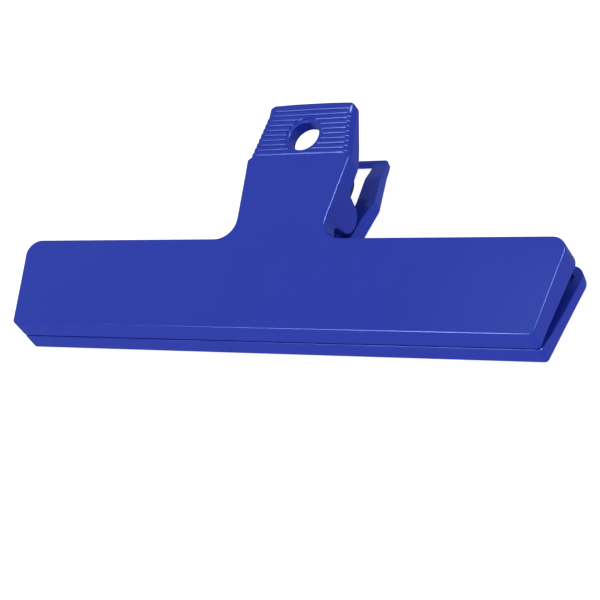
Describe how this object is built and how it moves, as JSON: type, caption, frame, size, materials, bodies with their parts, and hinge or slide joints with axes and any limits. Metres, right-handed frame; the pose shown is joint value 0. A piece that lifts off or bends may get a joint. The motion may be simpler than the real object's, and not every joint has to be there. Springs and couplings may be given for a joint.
{
  "type": "bag clip",
  "caption": "Wide kitchen bag clip with two long hollow jaws, squeeze handles with a ribbed grip and hanging hole, and a hidden steel spring band.",
  "frame": {"origin": "middle of the clip's footprint, on the flat outer face of the rear shell that it lies on", "axes": "+X along the jaws, +Y from the mouth to the handles, +Z from the rear shell up through the front shell"},
  "size_m": [0.151, 0.0646, 0.0254],
  "materials": {
    "blue_plastic": "satin-gloss moulded royal blue polypropylene",
    "spring_steel": "dark tempered spring steel, lightly oiled"
  },
  "bodies": {
    "rear": {"rear_jaw": "blue_plastic", "spring": "spring_steel"},
    "front": {"front_jaw": "blue_plastic"}
  },
  "joints": [
    {"name": "jaw_hinge", "type": "hinge", "parent": "rear", "child": "front", "pos_m": [0, 0.00362, 0.00988], "axis": [-1, 0, 0], "range_deg": [0, 36], "stiffness_Nm_per_rad": 0.67, "springref_deg": -29.79, "deforming": ["spring"]}
  ]
}
